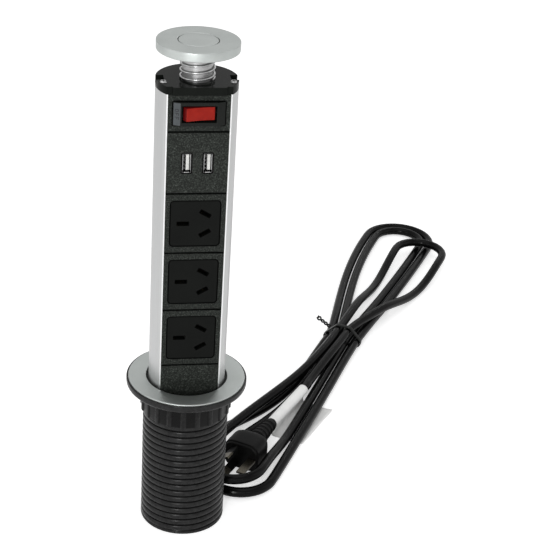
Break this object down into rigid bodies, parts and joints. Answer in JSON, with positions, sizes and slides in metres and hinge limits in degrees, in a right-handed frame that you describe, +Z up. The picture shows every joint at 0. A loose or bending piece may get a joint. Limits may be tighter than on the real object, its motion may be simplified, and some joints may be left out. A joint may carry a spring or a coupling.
{
  "type": "pop up desk socket",
  "caption": "Pop-up desk power tower in a threaded sleeve, with switch, charger ports, flat-pin mains sockets, pull cap and a tied mains cord.",
  "frame": {"origin": "centre of the sleeve's lower rim, on the surface that it stands on", "axes": "+Z up along the tower, -Y towards the front of the modules, +X to the right seen from the front"},
  "size_m": [0.3325, 0.4933, 0.3544],
  "materials": {
    "sleeve_black": "satin moulded",
    "satin_silver": "satin anodised",
    "tower_aluminium": "fine extruded",
    "bush_black": "matt",
    "washer_rubber": "matt",
    "cap_black": "semi gloss",
    "panel_black": "spark-textured",
    "insert_black": "smooth satin",
    "switch_black": "semi gloss",
    "rocker_red": "translucent gloss",
    "stem_chrome": "polished",
    "spring_steel": "drawn wire",
    "screw_steel": "plated",
    "port_steel": "plated sheet",
    "port_white": "matt",
    "contact_brass": "drawn strip",
    "pin_brass": "plated",
    "board_green": "solder mask",
    "coil_yellow": "tape",
    "carrier_grey": "matt",
    "wire_brown": "insulation",
    "wire_blue": "insulation",
    "wire_green": "insulation",
    "cord_black": "semi-gloss flexible sheath",
    "plug_black": "moulded",
    "tie_black": "coated wire",
    "label_paper": "bare"
  },
  "bodies": {
    "sleeve": {"threaded_sleeve": "sleeve_black", "trim_ring": "satin_silver", "guide_bush": "bush_black"},
    "clamp": {"clamp_washer": "washer_rubber"},
    "nut": {"lock_nut": "sleeve_black"},
    "cap": {"pull_cap": "satin_silver", "cap_stem": "stem_chrome", "stem_clip": "spring_steel", "button_spring": "spring_steel"},
    "button": {"release_button": "satin_silver", "button_rod": "spring_steel"},
    "rocker": {"rocker": "rocker_red"},
    "tower": {"tower_extrusion": "tower_aluminium", "top_end_cap": "cap_black", "end_cap_screws": "screw_steel", "foot_end_cap": "cap_black", "foot_cap_screws": "screw_steel", "cord_gland": "plug_black", "cap_spring": "spring_steel", "switch_frame": "panel_black", "switch_housing": "switch_black", "switch_terminals": "contact_brass", "usb_frame": "panel_black", "usb_shells": "port_steel", "usb_tongues": "port_white", "usb_board": "board_green", "usb_transformer": "coil_yellow", "contact_carrier": "carrier_grey", "active_busbar": "contact_brass", "neutral_busbar": "contact_brass", "earth_busbar": "contact_brass", "blank_frame": "panel_black", "active_wire": "wire_brown", "neutral_wire": "wire_blue", "earth_wire": "wire_green", "cord_lead": "cord_black", "cord_hank": "cord_black", "cord_tie": "tie_black", "cord_label": "label_paper", "plug_body": "plug_black", "plug_pins": "pin_brass", "socket_frame_1": "panel_black", "socket_insert_1": "insert_black", "socket_frame_2": "panel_black", "socket_insert_2": "insert_black", "socket_frame_3": "panel_black", "socket_insert_3": "insert_black"}
  },
  "joints": [
    {"name": "tower_slide", "type": "slide", "parent": "sleeve", "child": "tower", "axis": [0, 0, 1], "range_m": [-0.228, 0]},
    {"name": "cap_press", "type": "slide", "parent": "tower", "child": "cap", "axis": [0, 0, 1], "range_m": [-0.012, 0], "stiffness_N_per_m": 250, "springref_m": 0.012, "deforming": ["cap_spring"]},
    {"name": "button_press", "type": "slide", "parent": "cap", "child": "button", "axis": [0, 0, 1], "range_m": [-0.0015, 0], "stiffness_N_per_m": 400, "springref_m": 0.001, "deforming": ["button_spring"]},
    {"name": "rocker_tilt", "type": "hinge", "parent": "tower", "child": "rocker", "pos_m": [0, -0.0142, 0.31215], "axis": [0, 0, 1], "range_deg": [-20, 0]},
    {"name": "nut_slide", "type": "slide", "parent": "sleeve", "child": "clamp", "axis": [0, 0, 1], "range_m": [-0.0492, 0]},
    {"name": "nut_turn", "type": "hinge", "parent": "clamp", "child": "nut", "pos_m": [0, 0, 0.0979], "axis": [0, 0, 1], "range_deg": [-3600, 0]}
  ],
  "couplings": [
    {"joint": "nut_slide", "follows": "nut_turn", "m_per_rad": 0.00077986}
  ]
}
